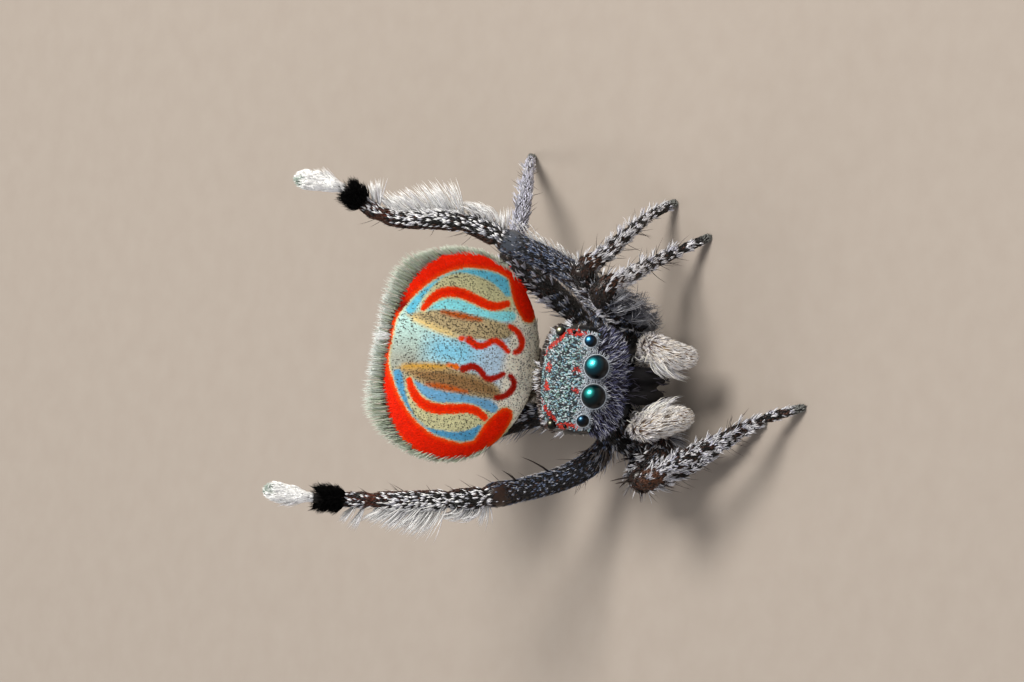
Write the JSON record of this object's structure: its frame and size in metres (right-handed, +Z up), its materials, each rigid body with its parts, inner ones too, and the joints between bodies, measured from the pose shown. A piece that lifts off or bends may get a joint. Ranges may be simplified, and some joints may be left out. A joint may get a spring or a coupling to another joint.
{
  "type": "male peacock spider, life-size display model",
  "caption": "Still life-size model of a male peacock spider in display, fan raised and third legs held up, standing on a flat floor.",
  "frame": {"origin": "middle of the bounding box on the floor that the feet stand on", "axes": "+Z up, the spider faces -Y, +X is its own left side"},
  "size_m": [0.006, 0.007, 0.0055],
  "materials": {
    "carapace_cuticle": "scale-covered cuticle, satin",
    "eye_lens": "clear glossy lens over teal green",
    "mouthparts": "dark cuticle, satin",
    "palp_hair": "cream hair",
    "fan_scales": "matt coloured scales: red, blue and olive",
    "belly": "grey brown hair",
    "leg_hair": "grey, black and white hair and scales",
    "leg_brush": "white hair with a black band"
  },
  "bodies": {
    "root": {"cephalothorax": "carapace_cuticle", "fan": "fan_scales", "abdomen": "belly", "pedicel": "belly", "spinnerets": "belly", "eye_front_middle_left": "eye_lens", "eye_front_middle_right": "eye_lens", "eye_front_side_left": "eye_lens", "eye_front_side_right": "eye_lens", "eye_rear_middle_left": "eye_lens", "eye_rear_middle_right": "eye_lens", "eye_rear_side_left": "eye_lens", "eye_rear_side_right": "eye_lens", "chelicera_left": "mouthparts", "chelicera_right": "mouthparts", "palp_left_arm": "palp_hair", "palp_left_bulb": "palp_hair", "palp_right_arm": "palp_hair", "palp_right_bulb": "palp_hair", "leg_1_left_femur": "leg_hair", "leg_1_left_tibia": "leg_hair", "leg_1_left_tarsus": "leg_hair", "leg_1_right_femur": "leg_hair", "leg_1_right_tibia": "leg_hair", "leg_1_right_tarsus": "leg_hair", "leg_2_left_femur": "leg_hair", "leg_2_left_tibia": "leg_hair", "leg_2_left_tarsus": "leg_hair", "leg_2_right_femur": "leg_hair", "leg_2_right_tibia": "leg_hair", "leg_2_right_tarsus": "leg_hair", "leg_3_left_femur": "leg_hair", "leg_3_left_tibia": "leg_brush", "leg_3_left_tarsus": "leg_brush", "leg_3_right_femur": "leg_hair", "leg_3_right_tibia": "leg_brush", "leg_3_right_tarsus": "leg_brush", "leg_4_left_femur": "leg_hair", "leg_4_left_tibia": "leg_hair", "leg_4_left_tarsus": "leg_hair", "leg_4_right_femur": "leg_hair", "leg_4_right_tibia": "leg_hair", "leg_4_right_tarsus": "leg_hair"}
  },
  "joints": []
}
